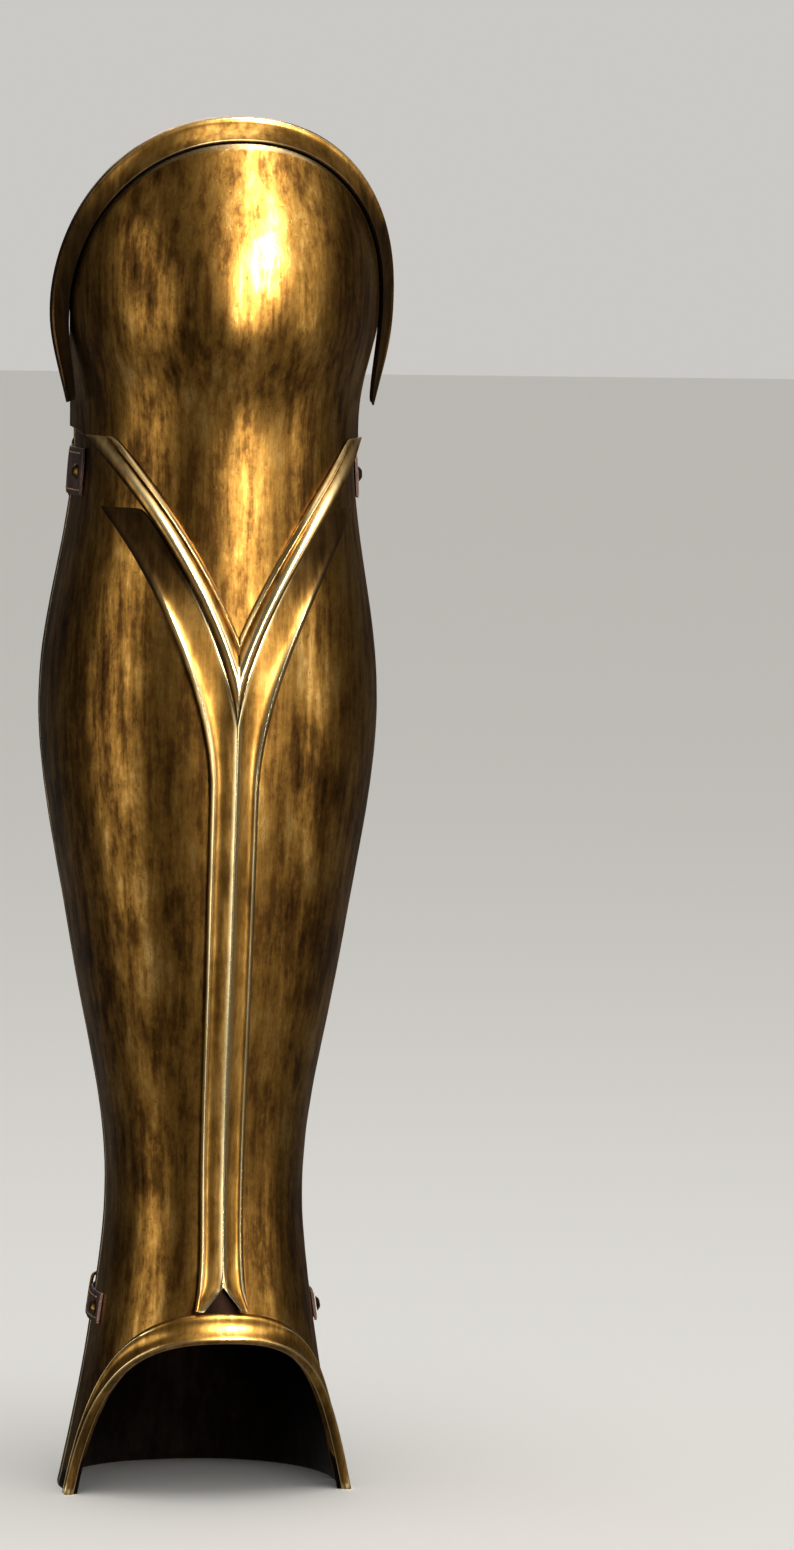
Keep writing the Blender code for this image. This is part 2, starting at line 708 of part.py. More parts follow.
def make_fittings():
    """Strap, buckle, tongue and two rivets at each of the four seams' ends."""
    levels = (
        ("upper", UPPER_STRAP_HEIGHT, UPPER_STRAP_WIDTH),
        ("lower", LOWER_STRAP_HEIGHT, LOWER_STRAP_WIDTH),
    )
    for level, height, width in levels:
        for side, side_name in ((-1, "left"), (1, "right")):
            ending = f"{level}_{side_name}"
            yield make_strap(f"strap_{ending}", side, height, width), "dark_leather"
            yield make_buckle(f"buckle_{ending}", side, height, width), "worn_brass"
            yield make_tongue(f"tongue_{ending}", side, height), "worn_brass"
            front = surface_angle(STRAP_START_ANGLE, RIVET_EDGE, height)
            rear = surface_angle(STRAP_END_ANGLE, -RIVET_EDGE, height)
            yield make_rivet(f"rivet_{ending}_front", side, front, height), "worn_brass"
            yield make_rivet(f"rivet_{ending}_rear", side, rear, height), "worn_brass"


def depth_of(pieces):
    """Lowest and highest y of the pieces."""
    bpy.context.view_layer.update()
    ys = [(piece.matrix_world @ corner.co).y for piece in pieces for corner in piece.data.vertices]
    return min(ys), max(ys)


def build():
    for old in list(bpy.data.objects):
        bpy.data.objects.remove(old)
    collection = bpy.data.collections.new("greave")
    bpy.context.scene.collection.children.link(collection)
    centre = bpy.data.objects.new("greave_centre", None)
    collection.objects.link(centre)
    made = [
        (make_shin_plate(), "aged_bronze"),
        (make_back_plate(), "dark_bronze"),
        (make_knee_plate(), "aged_bronze"),
        (make_knee_rim(), "worn_brass"),
        (make_v_band(), "worn_brass"),
        (make_shin_rib(), "worn_brass"),
        (make_ankle_rim(), "worn_brass"),
    ]
    made += list(make_fittings())
    for piece, finish_name in made:
        add_piece(piece, finish_name, centre, collection)
    front, back = depth_of([piece for piece, finish_name in made])
    centre.location.y = -(front + back) / 2.0


build()
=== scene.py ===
import math

import bmesh
import bpy
from mathutils import Matrix, Vector


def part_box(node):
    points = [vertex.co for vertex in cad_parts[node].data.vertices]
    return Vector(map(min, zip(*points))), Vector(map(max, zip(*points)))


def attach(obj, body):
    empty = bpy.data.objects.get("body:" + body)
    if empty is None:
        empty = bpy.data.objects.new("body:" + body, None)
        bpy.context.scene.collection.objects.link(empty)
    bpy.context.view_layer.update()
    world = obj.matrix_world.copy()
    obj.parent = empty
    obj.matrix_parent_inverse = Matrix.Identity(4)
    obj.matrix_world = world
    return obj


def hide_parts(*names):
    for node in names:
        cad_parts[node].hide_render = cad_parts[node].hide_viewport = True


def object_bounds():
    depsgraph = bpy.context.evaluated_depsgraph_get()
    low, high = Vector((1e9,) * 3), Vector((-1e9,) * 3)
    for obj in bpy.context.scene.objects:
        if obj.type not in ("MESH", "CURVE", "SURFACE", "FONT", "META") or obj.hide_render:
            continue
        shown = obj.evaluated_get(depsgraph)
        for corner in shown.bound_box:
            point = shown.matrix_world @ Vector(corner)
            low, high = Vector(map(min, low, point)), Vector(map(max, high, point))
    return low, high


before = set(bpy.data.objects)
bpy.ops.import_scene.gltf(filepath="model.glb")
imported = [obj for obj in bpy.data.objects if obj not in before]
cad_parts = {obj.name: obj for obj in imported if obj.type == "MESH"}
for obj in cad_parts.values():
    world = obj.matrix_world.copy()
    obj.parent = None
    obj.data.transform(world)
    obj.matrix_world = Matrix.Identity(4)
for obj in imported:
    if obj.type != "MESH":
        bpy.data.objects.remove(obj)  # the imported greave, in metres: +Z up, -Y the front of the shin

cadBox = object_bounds()
mm = 0.001
samePlace = 0.02 * mm  # points nearer than this are one point


def linear(hexColour):
    values = [int(hexColour[i:i + 2], 16) / 255.0 for i in (1, 3, 5)]
    return (*[v / 12.92 if v <= 0.04045 else ((v + 0.055) / 1.055) ** 2.4 for v in values], 1.0)


# Adds a node. Inputs are given by name or number; a pair of node and output name becomes a link.
def addNode(tree, kind, inputs=None, **settings):
    node = tree.nodes.new(kind)
    for name, value in settings.items():
        setattr(node, name, value)
    for name, value in (inputs or {}).items():
        if isinstance(value, tuple) and isinstance(value[0], bpy.types.Node):
            tree.links.new(value[0].outputs[value[1]], node.inputs[name])
        else:
            node.inputs[name].default_value = value
    return node


def selectOnly(piece):
    bpy.ops.object.select_all(action="DESELECT")
    bpy.context.view_layer.objects.active = piece
    piece.select_set(True)


def applyModifier(piece, kind, **settings):
    modifier = piece.modifiers.new(kind.title(), kind)
    for name, value in settings.items():
        setattr(modifier, name, value)
    selectOnly(piece)
    bpy.ops.object.modifier_apply(modifier=modifier.name)


# Old brass and bronze plate

def patinaRamp(tree, factor, stops):
    ramp = addNode(tree, "ShaderNodeValToRGB", {"Fac": factor})
    elements = ramp.color_ramp.elements
    while len(elements) < len(stops):
        elements.new(0.5)
    for element, (place, colour) in zip(elements, stops):
        element.position = place
        element.color = linear(colour)
    return ramp


# Mask of a painted shadow: the small dark triangle painted in the fork at the rib's foot, where the recess
# lies in shade
def forkShadowMask(tree, coords, patch):
    split = addNode(tree, "ShaderNodeSeparateXYZ", {0: (coords, "Object")})
    aside = addNode(tree, "ShaderNodeMath", {0: (split, "X")}, operation="ABSOLUTE")
    narrow = addNode(tree, "ShaderNodeMath", {
        0: (aside, 0), 1: -1.0 / patch["halfWidth"], 2: 1.0,
    }, operation="MULTIPLY_ADD")
    up = addNode(tree, "ShaderNodeMapRange", {
        "Value": (split, "Z"), "From Min": patch["foot"], "From Max": patch["top"],
    }, clamp=False)
    left = addNode(tree, "ShaderNodeMath", {0: (narrow, 0), 1: (up, "Result")}, operation="SUBTRACT")
    front = addNode(tree, "ShaderNodeMath", {0: (split, "Y"), 1: 0.0}, operation="LESS_THAN")
    sharp = addNode(tree, "ShaderNodeMath", {
        0: (left, 0), 1: patch["sharpness"],
    }, operation="MULTIPLY", use_clamp=True)
    return addNode(tree, "ShaderNodeMath", {0: (sharp, 0), 1: (front, 0)}, operation="MULTIPLY")


# Sheet brass, hammered and planished, left to tarnish: brown oxide in long vertical runs, small dark
# pits, rubbed gold where hands and neighbours touch it. Reads the piece's own wear and grime, and on the
# borders the painted highlights and painted shade that are put into them.
def agedMetal(name, look):
    material = bpy.data.materials.new(name)
    material.use_nodes = True
    tree = material.node_tree
    shader = tree.nodes["Principled BSDF"]
    coords = addNode(tree, "ShaderNodeTexCoord")

    def noise(sizeMm, detail, roughness):
        scale = [1.0 / (size * mm) for size in sizeMm]
        mapping = addNode(tree, "ShaderNodeMapping", {"Vector": (coords, "Object"), "Scale": scale})
        return addNode(tree, "ShaderNodeTexNoise", {
            "Vector": (mapping, "Vector"), "Scale": 1.0, "Detail": detail, "Roughness": roughness,
        })

    runs = noise(look["runSize"], detail=5.0, roughness=0.62)
    clouds = noise(look["cloudSize"], detail=4.0, roughness=0.60)
    pits = noise(look["pitSize"], detail=3.0, roughness=0.75)
    grain = noise(look["grainSize"], detail=4.0, roughness=0.70)
    half = addNode(tree, "ShaderNodeMath", {0: (runs, "Fac"), 1: (clouds, "Fac")}, operation="ADD")
    tone = addNode(tree, "ShaderNodeMath", {
        0: (grain, "Fac"), 1: look["grainShare"], 2: (half, "Value"),
    }, operation="MULTIPLY_ADD")
    spread = addNode(tree, "ShaderNodeMapRange", {
        "Value": (tone, "Value"), "From Min": look["darkFrom"], "From Max": look["brightFrom"],
    })
    patina = patinaRamp(tree, (spread, "Result"), look["patina"])

    pitMask = addNode(tree, "ShaderNodeMapRange", {
        "Value": (pits, "Fac"), "From Min": look["pitFrom"], "From Max": look["pitFrom"] + look["pitFade"],
    })
    pitFactor = addNode(tree, "ShaderNodeMath", {
        0: (pitMask, "Result"), 1: look["pitDepth"],
    }, operation="MULTIPLY")
    pitted = addNode(tree, "ShaderNodeMix", {
        "Factor": (pitFactor, "Value"), "A": (patina, "Color"), "B": linear(look["pitColour"]),
    }, data_type="RGBA")
    wearAndHighlight = addNode(tree, "ShaderNodeAttribute", attribute_name="wearAndHighlight")
    grimeAndShade = addNode(tree, "ShaderNodeAttribute", attribute_name="grimeAndShade")
    # Rubbed gold, and on the borders the painted highlight lines on the ridges, in the pale worn colour
    rubbed = addNode(tree, "ShaderNodeMath", {
        0: (wearAndHighlight, "Fac"), 1: (spread, "Result"), 2: (wearAndHighlight, "Fac"),
    }, operation="MULTIPLY_ADD")
    rubbedAndHighlitShare = addNode(tree, "ShaderNodeMath", {
        0: (rubbed, "Value"), 1: look["wearShare"],
    }, operation="MULTIPLY", use_clamp=True)
    wornAndHighlit = addNode(tree, "ShaderNodeMix", {
        "Factor": (rubbedAndHighlitShare, "Value"), "A": (pitted, 2), "B": linear(look["wornAndHighlightColour"]),
    }, data_type="RGBA")
    # Grime in concave places, and on the borders painted shade in grooves, under edges and at the sides
    dirtyAndShaded = addNode(tree, "ShaderNodeMix", {
        "Factor": (grimeAndShade, "Fac"), "A": (wornAndHighlit, 2), "B": linear(look["grimeAndShadeColour"]),
    }, data_type="RGBA")
    # Painted shadow in the rib's fork, in the grime colour
    if "forkShadowPatch" in look:
        dirtyAndShaded = addNode(tree, "ShaderNodeMix", {
            "Factor": (forkShadowMask(tree, coords, look["forkShadowPatch"]), 0),
            "A": (dirtyAndShaded, 2), "B": linear(look["grimeAndShadeColour"]),
        }, data_type="RGBA")
    tree.links.new(dirtyAndShaded.outputs[2], shader.inputs["Base Color"])

    dull = addNode(tree, "ShaderNodeMapRange", {
        "Value": (spread, "Result"), "To Min": look["dullRoughness"], "To Max": look["brightRoughness"],
    })
    polishAndHighlight = addNode(tree, "ShaderNodeMix", {
        "Factor": (rubbedAndHighlitShare, "Value"), "A": (dull, "Result"), "B": look["wornRoughness"],
    }, data_type="FLOAT")
    matt = addNode(tree, "ShaderNodeMix", {
        "Factor": (grimeAndShade, "Fac"), "A": (polishAndHighlight, 0), "B": look["grimeRoughness"],
    }, data_type="FLOAT")
    tree.links.new(matt.outputs[0], shader.inputs["Roughness"])
    shader.inputs["Metallic"].default_value = 1.0

    scratch = noise(look["scratchSize"], detail=3.0, roughness=0.55)
    relief = addNode(tree, "ShaderNodeMath", {
        0: (scratch, "Fac"), 1: look["scratchRelief"], 2: (grain, "Fac"),
    }, operation="MULTIPLY_ADD")
    relief = addNode(tree, "ShaderNodeMath", {
        0: (pitFactor, "Value"), 1: look["pitRelief"], 2: (relief, "Value"),
    }, operation="MULTIPLY_ADD")
    bump = addNode(tree, "ShaderNodeBump", {
        "Height": (relief, "Value"), "Strength": look["bumpStrength"], "Distance": look["bumpHeight"] * mm,
    })
    tree.links.new(bump.outputs["Normal"], shader.inputs["Normal"])
    return material


agedPlateLook = {
    "runSize": (3.6, 3.6, 44.0), "cloudSize": (19.0, 19.0, 27.0),
    "pitSize": (1.3, 1.3, 1.7), "grainSize": (1.6, 1.6, 3.2), "scratchSize": (0.5, 0.5, 14.0),
    "grainShare": 0.42, "darkFrom": 0.88, "brightFrom": 1.58,
    "patina": ((0.0, "#2A1A09"), (0.30, "#573A17"), (0.62, "#8F672D"), (1.0, "#C59C58")),
    "pitFrom": 0.60, "pitFade": 0.08, "pitDepth": 0.50, "pitColour": "#241609",
    "wearShare": 0.45, "wornAndHighlightColour": "#E9CF9A", "grimeAndShadeColour": "#120A06",
    "dullRoughness": 0.40, "brightRoughness": 0.25, "wornRoughness": 0.20, "grimeRoughness": 0.60,
    "scratchRelief": 0.5, "pitRelief": -0.8, "bumpStrength": 0.35, "bumpHeight": 0.10,
}
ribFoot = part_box("shin_rib")[0].z
# The shin plate carries the painted shadow in the rib's fork
shinPlateLook = dict(agedPlateLook, forkShadowPatch={
    "foot": ribFoot - 1.0 * mm, "top": ribFoot + 10.0 * mm, "halfWidth": 7.6 * mm, "sharpness": 12.0,
})
darkPlateLook = dict(
    agedPlateLook, patina=((0.0, "#1F150A"), (0.35, "#3E2C15"), (0.7, "#6B5029"), (1.0, "#927547")),
    wearShare=0.3, dullRoughness=0.48, brightRoughness=0.32,
)
# Borders: the pale worn colour is rubbed gold and also paints the highlight lines on their ridges
rubbedEdgeLook = dict(
    agedPlateLook, runSize=(3.0, 3.0, 26.0), cloudSize=(13.0, 13.0, 18.0), grainShare=0.30,
    patina=((0.0, "#5C3F17"), (0.35, "#946A2E"), (0.7, "#C5944A"), (1.0, "#E2B56C")),
    wearShare=0.9, wornAndHighlightColour="#F8DEA2", pitDepth=0.35, bumpStrength=0.25,
    dullRoughness=0.38, brightRoughness=0.24, wornRoughness=0.19,
)
fittingLook = dict(
    rubbedEdgeLook, patina=((0.0, "#35240F"), (0.4, "#654824"), (0.8, "#98763F"), (1.0, "#AC8850")),
    cloudSize=(4.0, 4.0, 4.0), runSize=(2.0, 2.0, 2.0), wearShare=0.7,
)
# The inner faces of the plates are coloured near black
nearBlackInsideLook = dict(
    darkPlateLook, patina=((0.0, "#080605"), (0.5, "#130E0A"), (1.0, "#221911")),
    wearShare=0.1, dullRoughness=0.62, brightRoughness=0.50,
)

agedBronze = agedMetal("aged_bronze_plate", agedPlateLook)
shinBronze = agedMetal("aged_bronze_shin", shinPlateLook)
darkBronze = agedMetal("darkened_bronze_plate", darkPlateLook)
rubbedBrass = agedMetal("rubbed_cast_brass", rubbedEdgeLook)
fittingBrass = agedMetal("tarnished_buckle_brass", fittingLook)
nearBlackInside = agedMetal("near_black_inner_face", nearBlackInsideLook)
print("metals made")


# Vegetable-tanned strap leather, dyed dark and waxed: fine pebbled grain, browner rubbed edges. In
# paler colours and with a finer grain it is also the waxed linen thread of the seams.
def strapLeather(name, look):
    material = bpy.data.materials.new(name)
    material.use_nodes = True
    tree = material.node_tree
    shader = tree.nodes["Principled BSDF"]
    coords = addNode(tree, "ShaderNodeTexCoord")
    pebble = addNode(tree, "ShaderNodeTexVoronoi", {
        "Vector": (coords, "Object"), "Scale": 1.0 / (look["pebble"] * mm),
    }, feature="DISTANCE_TO_EDGE")
    fade = addNode(tree, "ShaderNodeTexNoise", {
        "Vector": (coords, "Object"), "Scale": 1.0 / (look["fade"] * mm), "Detail": 5.0,
    })
    colour = patinaRamp(tree, (fade, "Fac"), look["colours"])
    wearAndHighlight = addNode(tree, "ShaderNodeAttribute", attribute_name="wearAndHighlight")
    rubbed = addNode(tree, "ShaderNodeMix", {
        "Factor": (wearAndHighlight, "Fac"), "A": (colour, "Color"), "B": linear(look["rubbed"]),
    }, data_type="RGBA")
    tree.links.new(rubbed.outputs[2], shader.inputs["Base Color"])
    sheen = addNode(tree, "ShaderNodeMapRange", {
        "Value": (fade, "Fac"), "To Min": look["roughest"], "To Max": look["smoothest"],
    })
    tree.links.new(sheen.outputs["Result"], shader.inputs["Roughness"])
    crease = addNode(tree, "ShaderNodeMapRange", {
        "Value": (pebble, "Distance"), "From Min": 0.0, "From Max": look["creaseWidth"],
    })
    bump = addNode(tree, "ShaderNodeBump", {
        "Height": (crease, "Result"), "Strength": look["bumpStrength"], "Distance": look["bumpHeight"] * mm,
    })
    tree.links.new(bump.outputs["Normal"], shader.inputs["Normal"])
    return material


leatherLook = {
    "pebble": 1.1, "fade": 9.0, "roughest": 0.72, "smoothest": 0.42, "rubbed": "#45291A",
    "colours": ((0.30, "#1C0F09"), (0.52, "#301A10"), (0.72, "#4B2A1A")),
    "creaseWidth": 0.25, "bumpStrength": 0.5, "bumpHeight": 0.12,
}
threadLook = dict(
    leatherLook, pebble=0.35, fade=3.0, rubbed="#B08F63",
    colours=((0.30, "#6E5233"), (0.52, "#8A6B45"), (0.72, "#A5855A")),
)
darkLeather = strapLeather("waxed_strap_leather", leatherLook)
linenThread = strapLeather("waxed_linen_thread", threadLook)
print("leather made")


bendGain = 0.6  # share of wear or grime for a bend twice as sharp as the look's radius
leastSquare = 1e-10  # stands in for the squared length of an edge with no length


# How strongly each point stands out or lies in a groove, from the bend of the surface there
def markWearAndGrime(piece, look):
    mesh = bmesh.new()
    mesh.from_mesh(piece.data)
    mesh.normal_update()
    bend = []
    for corner in mesh.verts:
        total = 0.0
        for edge in corner.link_edges:
            away = edge.other_vert(corner).co - corner.co
            total -= 2.0 * away.dot(corner.normal) / max(away.length_squared, leastSquare)
        bend.append(total / max(1, len(corner.link_edges)))
    for _ in range(look["blur"]):
        bend = [
            0.5 * bend[corner.index] + 0.5 * sum(
                bend[edge.other_vert(corner).index] for edge in corner.link_edges
            ) / max(1, len(corner.link_edges)) for corner in mesh.verts
        ]
    mesh.free()
    wearAndHighlight = piece.data.attributes.new("wearAndHighlight", "FLOAT", "POINT")
    grimeAndShade = piece.data.attributes.new("grimeAndShade", "FLOAT", "POINT")
    for i, value in enumerate(bend):
        out = (value - 1.0 / look["wearRadius"]) * look["wearRadius"]
        deep = (-value - 1.0 / look["grimeRadius"]) * look["grimeRadius"]
        wearAndHighlight.data[i].value = min(1.0, max(0.0, bendGain * out))
        grimeAndShade.data[i].value = min(1.0, max(0.0, bendGain * deep))


legAxis = Vector((0.0, 0.0, 0.0))
inwardLimit = -0.25  # a face that points further inwards than this is on the hollow's side


def facesInwards(face):
    outwards = Vector((face.center.x - legAxis.x, face.center.y - legAxis.y, 0.0))
    return face.normal.dot(outwards.normalized()) < inwardLimit


# A fine copy of a node: loose triangles merged to quads, edges kept, surface smoothed and dented
def fineCopy(nodeName, look, materials):
    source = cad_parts[nodeName]
    piece = bpy.data.objects.new(f"{nodeName}_fine", source.data.copy())
    bpy.context.scene.collection.objects.link(piece)
    piece.data.materials.clear()
    selectOnly(piece)
    bpy.ops.mesh.customdata_custom_splitnormals_clear()
    bpy.ops.object.mode_set(mode="EDIT")
    bpy.ops.mesh.select_mode(type="EDGE")
    bpy.ops.mesh.select_all(action="SELECT")
    bpy.ops.mesh.remove_doubles(threshold=samePlace)
    bpy.ops.mesh.tris_convert_to_quads(face_threshold=math.pi, shape_threshold=math.pi)
    bpy.ops.mesh.select_all(action="DESELECT")
    bpy.ops.mesh.edges_select_sharp(sharpness=math.radians(look["keepAngle"]))
    bpy.ops.object.mode_set(mode="OBJECT")
    if look["middleRidge"]:
        points = piece.data.vertices
        for edge in piece.data.edges:
            if all(abs(points[i].co.x) < samePlace for i in edge.vertices):
                edge.select = True
    bpy.ops.object.mode_set(mode="EDIT")
    bpy.ops.transform.edge_crease(value=1.0)
    bpy.ops.object.mode_set(mode="OBJECT")
    applyModifier(piece, "SUBSURF", levels=look["levels"], render_levels=look["levels"])
    if look["smoothing"]:
        smoothInside(piece, look)
    if look["dentDepth"]:
        dents = bpy.data.textures.new(f"{nodeName}_dents", "CLOUDS")
        dents.noise_scale = look["dentSize"]
        dents.noise_depth = 2
        applyModifier(piece, "DISPLACE", texture=dents, texture_coords="LOCAL",
                      strength=look["dentDepth"], mid_level=0.5)
    if look["edgeRounding"]:
        applyModifier(piece, "BEVEL", width=look["edgeRounding"], segments=look["edgeSteps"],
                      limit_method="ANGLE", angle_limit=math.radians(look["keepAngle"]))
    for material in materials:
        piece.data.materials.append(material)
    if len(materials) > 1:
        for face in piece.data.polygons:
            face.material_index = 1 if facesInwards(face) else 0
    selectOnly(piece)
    bpy.ops.object.shade_smooth_by_angle(angle=math.radians(look["keepAngle"]))
    markWearAndGrime(piece, look)
    return piece


# Evens out the points away from the kept edges
def smoothInside(piece, look):
    selectOnly(piece)
    bpy.ops.object.mode_set(mode="EDIT")
    bpy.ops.mesh.select_mode(type="EDGE")
    bpy.ops.mesh.select_all(action="DESELECT")
    bpy.ops.mesh.edges_select_sharp(sharpness=math.radians(look["keepAngle"]))
    bpy.ops.mesh.select_mode(type="VERT")
    bpy.ops.mesh.select_all(action="INVERT")
    bpy.ops.mesh.vertices_smooth(factor=0.5, repeat=look["smoothing"])
    bpy.ops.object.mode_set(mode="OBJECT")


def finishPiece(piece, slot, *nodes):
    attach(piece, "root")
    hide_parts(*nodes)


plateForm = {
    "keepAngle": 50.0, "middleRidge": False, "levels": 2, "smoothing": 8,
    "dentDepth": 0.22 * mm, "dentSize": 13.0 * mm, "edgeRounding": 0.35 * mm, "edgeSteps": 3,
    "wearRadius": 1.6 * mm, "grimeRadius": 4.0 * mm, "blur": 1,
}
finePlateForm = dict(plateForm, levels=3, smoothing=24)
castForm = dict(
    plateForm, keepAngle=62.0, smoothing=0, dentDepth=0.06 * mm, dentSize=6.0 * mm,
    edgeRounding=0.15 * mm, edgeSteps=2, wearRadius=3.5 * mm, grimeRadius=3.0 * mm,
)
wireForm = dict(
    castForm, levels=1, dentDepth=0.0, edgeRounding=0.0, wearRadius=0.9 * mm,
)
strapForm = dict(
    castForm, levels=2, dentDepth=0.12 * mm, dentSize=9.0 * mm, edgeRounding=0.25 * mm,
    wearRadius=1.2 * mm, grimeRadius=2.0 * mm,
)

# Plates
shinPlate = fineCopy("shin_plate", finePlateForm, (shinBronze, nearBlackInside))
finishPiece(shinPlate, "aged_bronze", "shin_plate")
backPlate = fineCopy("back_plate", plateForm, (darkBronze, nearBlackInside))
finishPiece(backPlate, "dark_bronze", "back_plate")
kneePlate = fineCopy("knee_plate", finePlateForm, (agedBronze, nearBlackInside))
finishPiece(kneePlate, "aged_bronze", "knee_plate")
print("plates made")


# Cast and rolled borders, polished on their ridges, with a painted highlight there too, and with painted
# shade in their grooves, under their edges and at their sides
def share(value, start, end):
    t = min(1.0, max(0.0, (value - start) / (end - start)))
    return t * t * (3.0 - 2.0 * t)


def peak(value, middle, width):
    return max(0.0, 1.0 - abs(value - middle) / width)


# The rule gives polish with painted highlight, and painted shade, 0 to 1, for a place on the piece.
# Spared is how far its bright edges stay clear of that painted shade.
def rubAndDarken(piece, rule, spared=0.0):
    wearAndHighlight, grimeAndShade = (piece.data.attributes[name].data for name in ("wearAndHighlight", "grimeAndShade"))
    for corner in piece.data.vertices:
        i = corner.index
        polishAndHighlight, paintedShade = rule(Vector((abs(corner.co.x), corner.co.y, corner.co.z)))
        paintedShade *= 1.0 - spared * wearAndHighlight[i].value
        wearAndHighlight[i].value = max(wearAndHighlight[i].value, polishAndHighlight) * (1.0 - paintedShade)
        grimeAndShade[i].value = max(grimeAndShade[i].value, paintedShade)


# Where the borders get their painted highlights and painted shade, and the shin plate its painted shade
# near the floor
kneeArch = {
    "middle": 0.430, "side": 56.5 * mm, "rise": 60.0 * mm, "power": 2.15,
    "grooveFrom": 1.024, "grooveTo": 1.014, "darkFrom": 0.499, "darkTo": 0.458, "shadeDepth": 0.94,
}
vLine = {
    "tip": 0.2836, "rise": 96.0 * mm, "halfWidth": 46.5 * mm, "power": 0.66, "width": 8.4 * mm,
    "ridges": ((0.32, 0.24), (0.86, 0.12)), "groove": (0.69, 0.10), "grooveShade": 0.6,
    "rootFrom": 0.05, "rootTo": -0.02, "rootShadow": 0.9, "fadeFrom": 0.350, "fadeTo": 0.378, "fade": 0.55,
}
ribLine = {
    "foot": ribFoot, "stemFoot": 7.5 * mm, "stemTop": 8.8 * mm,
    "spread": 2.2 * mm, "spreadRise": 24.0 * mm,
    "armStart": 0.262, "armTop": 0.360, "armReach": 37.2 * mm, "armPower": 1.6, "sideGap": 0.6 * mm,
    "forkRise": 9.0 * mm, "forkHalfWidth": 7.0 * mm, "ridge": 1.6 * mm,
    "bead": (0.87, 0.09), "beadPolishAndHighlight": 0.9, "flute": (0.48, 0.40), "fluteShade": 0.30,
    "rootFrom": 0.96, "rootTo": 1.0, "rootShadow": 0.9,
    "fadeFrom": 0.298, "fadeTo": 0.346, "fade": 0.93,
}
ankleArch = {"darkFrom": 0.060, "darkTo": 0.018, "shadeDepth": 0.85}
legFoot = {"darkFrom": 0.070, "darkTo": 0.010, "shadeDepth": 0.60}


def kneeRimRule(place):
    up = place.z - kneeArch["middle"]
    height = kneeArch["rise"] if up > 0.0 else kneeArch["side"]
    power = kneeArch["power"]
    out = ((place.x / kneeArch["side"]) ** power + (abs(up) / height) ** power) ** (1.0 / power)
    # Painted shade: on the rim's inner edge along the groove, and on the rim towards its lower sides
    groove = share(out, kneeArch["grooveFrom"], kneeArch["grooveTo"])
    sides = kneeArch["shadeDepth"] * share(place.z, kneeArch["darkFrom"], kneeArch["darkTo"])
    return 0.0, max(groove, sides)


def vEdge(height):
    rise = max(0.0, height - vLine["tip"])
    return vLine["halfWidth"] * (rise / vLine["rise"]) ** (1.0 / vLine["power"])


def vBandRule(place):
    across = (vEdge(place.z) - place.x) / vLine["width"]
    # Painted highlight on the two ridges, which are also rubbed; painted shade in the groove between them
    # and towards the band's upper ends; a painted shadow along its lower edge
    polishAndHighlight = max(peak(across, *ridge) for ridge in vLine["ridges"])
    groove = vLine["grooveShade"] * peak(across, *vLine["groove"])
    root = vLine["rootShadow"] * share(across, vLine["rootFrom"], vLine["rootTo"])
    fade = vLine["fade"] * share(place.z, vLine["fadeFrom"], vLine["fadeTo"])
    return polishAndHighlight, max(root, groove, fade)


def ribRule(place):
    stem = ribLine["stemFoot"] + (ribLine["stemTop"] - ribLine["stemFoot"]) * share(
        place.z, 0.0, ribLine["armStart"])
    foot = max(0.0, ribLine["foot"] + ribLine["spreadRise"] - place.z) / ribLine["spreadRise"]
    arm = max(0.0, place.z - ribLine["armStart"]) / (ribLine["armTop"] - ribLine["armStart"])
    outer = stem + ribLine["spread"] * foot ** 2 + ribLine["armReach"] * arm ** ribLine["armPower"]
    fork = max(0.0, ribLine["foot"] + ribLine["forkRise"] - place.z) / ribLine["forkRise"]
    inner = ribLine["forkHalfWidth"] * fork
    onStem = place.z < vLine["tip"]
    if not onStem:
        inner = vEdge(place.z) + ribLine["sideGap"]
    across = (place.x - inner) / (outer - inner)
    # Painted highlight on the crest and along the beads, which are also rubbed; painted shade in the flutes
    # and towards the arms' upper ends; a painted shadow just outside the beads
    ridge = peak(place.x - inner, 0.0, ribLine["ridge"]) if onStem else 0.0
    polishAndHighlight = max(ribLine["beadPolishAndHighlight"] * peak(across, *ribLine["bead"]), ridge)
    flute = ribLine["fluteShade"] * peak(across, *ribLine["flute"])
    fade = ribLine["fade"] * share(place.z, ribLine["fadeFrom"], ribLine["fadeTo"])
    root = ribLine["rootShadow"] * share(across, ribLine["rootFrom"], ribLine["rootTo"])
    return polishAndHighlight, max(flute, fade, root)


# Painted shade: the ankle rim darkens towards the bottom
def ankleRimRule(place):
    return 0.0, ankleArch["shadeDepth"] * share(place.z, ankleArch["darkFrom"], ankleArch["darkTo"])


# Painted shade: the shin plate darkens towards the floor
def legFootRule(place):
    return 0.0, legFoot["shadeDepth"] * share(place.z, legFoot["darkFrom"], legFoot["darkTo"])


# Painted shade on the shin plate near the floor
rubAndDarken(shinPlate, legFootRule)
borders = (
    ("knee_rim", False, kneeRimRule, 0.0), ("v_band", True, vBandRule, 0.0),
    ("shin_rib", True, ribRule, 0.0), ("ankle_rim", False, ankleRimRule, 0.9),
)
for nodeName, ridged, rule, spared in borders:
    border = fineCopy(nodeName, dict(castForm, middleRidge=ridged), (rubbedBrass,))
    rubAndDarken(border, rule, spared)
    finishPiece(border, "worn_brass", nodeName)
print("borders made")


# Straps, sewn along both edges, with their buckles and rivets
def polarAngle(point):
    return math.atan2(point.x - legAxis.x, legAxis.y - point.y)


